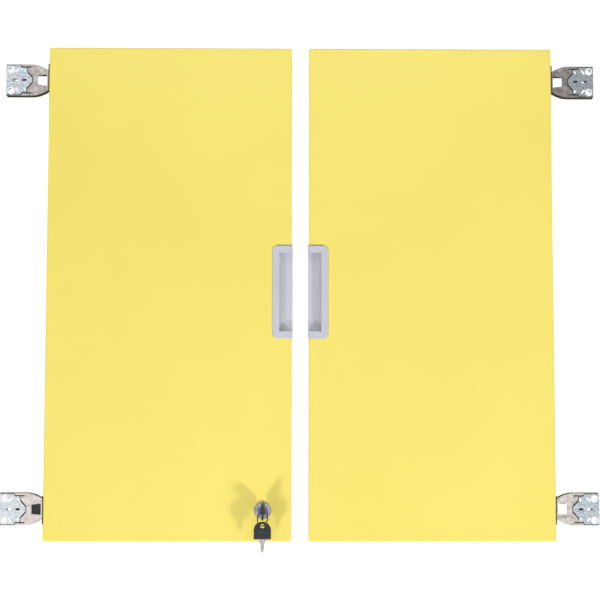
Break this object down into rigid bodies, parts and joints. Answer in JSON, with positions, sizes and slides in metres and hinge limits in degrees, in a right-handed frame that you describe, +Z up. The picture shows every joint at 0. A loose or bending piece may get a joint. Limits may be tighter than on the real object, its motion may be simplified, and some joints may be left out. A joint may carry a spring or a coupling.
{
  "type": "hinged cabinet door pair",
  "caption": "Pair of flat cabinet door leaves with concealed hinges, recessed edge pulls, a cam lock and its keys on a ring.",
  "frame": {"origin": "centre of the bounding box of the doors with hinges open, keys in the lock", "axes": "+Z up, +X to the right when facing the doors' front, -Y out of the front faces"},
  "size_m": [0.8956, 0.068, 0.7524],
  "materials": {
    "door_foil": "MDF board wrapped in smooth satin yellow foil",
    "pull_plastic": "fine moulded texture, light grey",
    "nickel_steel": "nickel-plated pressed steel",
    "zinc_steel": "blue-bright zinc-plated pressed steel",
    "fastener_steel": "zinc-plated, turned",
    "lock_chrome": "polished plating on die casting",
    "key_plastic": "black moulded plastic",
    "key_steel": "nickel-plated, stamped"
  },
  "bodies": {
    "hinge_arms": {"left_bottom_adjust_screws": "fastener_steel", "left_bottom_arm": "nickel_steel", "left_bottom_arm_pin": "fastener_steel", "left_bottom_mounting_plate": "zinc_steel", "left_top_adjust_screws": "fastener_steel", "left_top_arm": "nickel_steel", "left_top_arm_pin": "fastener_steel", "left_top_mounting_plate": "zinc_steel", "right_bottom_adjust_screws": "fastener_steel", "right_bottom_arm": "nickel_steel", "right_bottom_arm_pin": "fastener_steel", "right_bottom_mounting_plate": "zinc_steel", "right_top_adjust_screws": "fastener_steel", "right_top_arm": "nickel_steel", "right_top_arm_pin": "fastener_steel", "right_top_mounting_plate": "zinc_steel"},
    "left_links": {"left_top_link": "nickel_steel", "left_bottom_link": "nickel_steel"},
    "left_door": {"left_bottom_cup": "nickel_steel", "left_bottom_cup_pin": "fastener_steel", "left_bottom_cup_screws": "fastener_steel", "left_leaf": "door_foil", "left_pull": "pull_plastic", "left_pull_screws": "fastener_steel", "left_top_cup": "nickel_steel", "left_top_cup_pin": "fastener_steel", "left_top_cup_screws": "fastener_steel", "lock_housing": "lock_chrome", "lock_nut": "fastener_steel"},
    "right_links": {"right_top_link": "nickel_steel", "right_bottom_link": "nickel_steel"},
    "right_door": {"right_bottom_cup": "nickel_steel", "right_bottom_cup_pin": "fastener_steel", "right_bottom_cup_screws": "fastener_steel", "right_leaf": "door_foil", "right_pull": "pull_plastic", "right_pull_screws": "fastener_steel", "right_top_cup": "nickel_steel", "right_top_cup_pin": "fastener_steel", "right_top_cup_screws": "fastener_steel"},
    "lock": {"lock_plug": "lock_chrome", "lock_cam": "fastener_steel", "cam_screw": "fastener_steel"},
    "key_1": {"key_1_blade": "key_steel", "key_1_head": "key_plastic"},
    "ring": {"key_ring": "key_steel"},
    "key_2": {"key_2_blade": "key_steel", "key_2_head": "key_plastic"}
  },
  "joints": [
    {"name": "left_link_turn", "type": "hinge", "parent": "hinge_arms", "child": "left_links", "pos_m": [-0.3843, 0.02761, 0.00625], "axis": [0, 0, 1], "range_deg": [-23.49, 0]},
    {"name": "left_door_swing", "type": "hinge", "parent": "left_links", "child": "left_door", "pos_m": [-0.37036, 0.01561, 0.00625], "axis": [0, 0, 1], "range_deg": [0, 113.49]},
    {"name": "right_link_turn", "type": "hinge", "parent": "hinge_arms", "child": "right_links", "pos_m": [0.3843, 0.02761, 0.00625], "axis": [0, 0, -1], "range_deg": [-23.49, 0]},
    {"name": "right_door_swing", "type": "hinge", "parent": "right_links", "child": "right_door", "pos_m": [0.37036, 0.01561, 0.00625], "axis": [0, 0, -1], "range_deg": [0, 113.49]},
    {"name": "lock_turn", "type": "hinge", "parent": "left_door", "child": "lock", "pos_m": [-0.0553, 0.00161, -0.31775], "axis": [0, 1, 0], "range_deg": [0, 90]},
    {"name": "key_slide", "type": "slide", "parent": "lock", "child": "key_1", "axis": [0, -1, 0], "range_m": [0, 0.022]},
    {"name": "ring_swing", "type": "hinge", "parent": "key_1", "child": "ring", "pos_m": [-0.0553, -0.02619, -0.31775], "axis": [0, 1, 0], "range_deg": [-20, 20]},
    {"name": "key_2_swing", "type": "hinge", "parent": "ring", "child": "key_2", "pos_m": [-0.0553, -0.02619, -0.33775], "axis": [0, 1, 0], "range_deg": [-60, 60]}
  ],
  "couplings": [
    {"joint": "left_link_turn", "follows": "left_door_swing", "ratio": -0.20698},
    {"joint": "right_link_turn", "follows": "right_door_swing", "ratio": -0.20698}
  ]
}
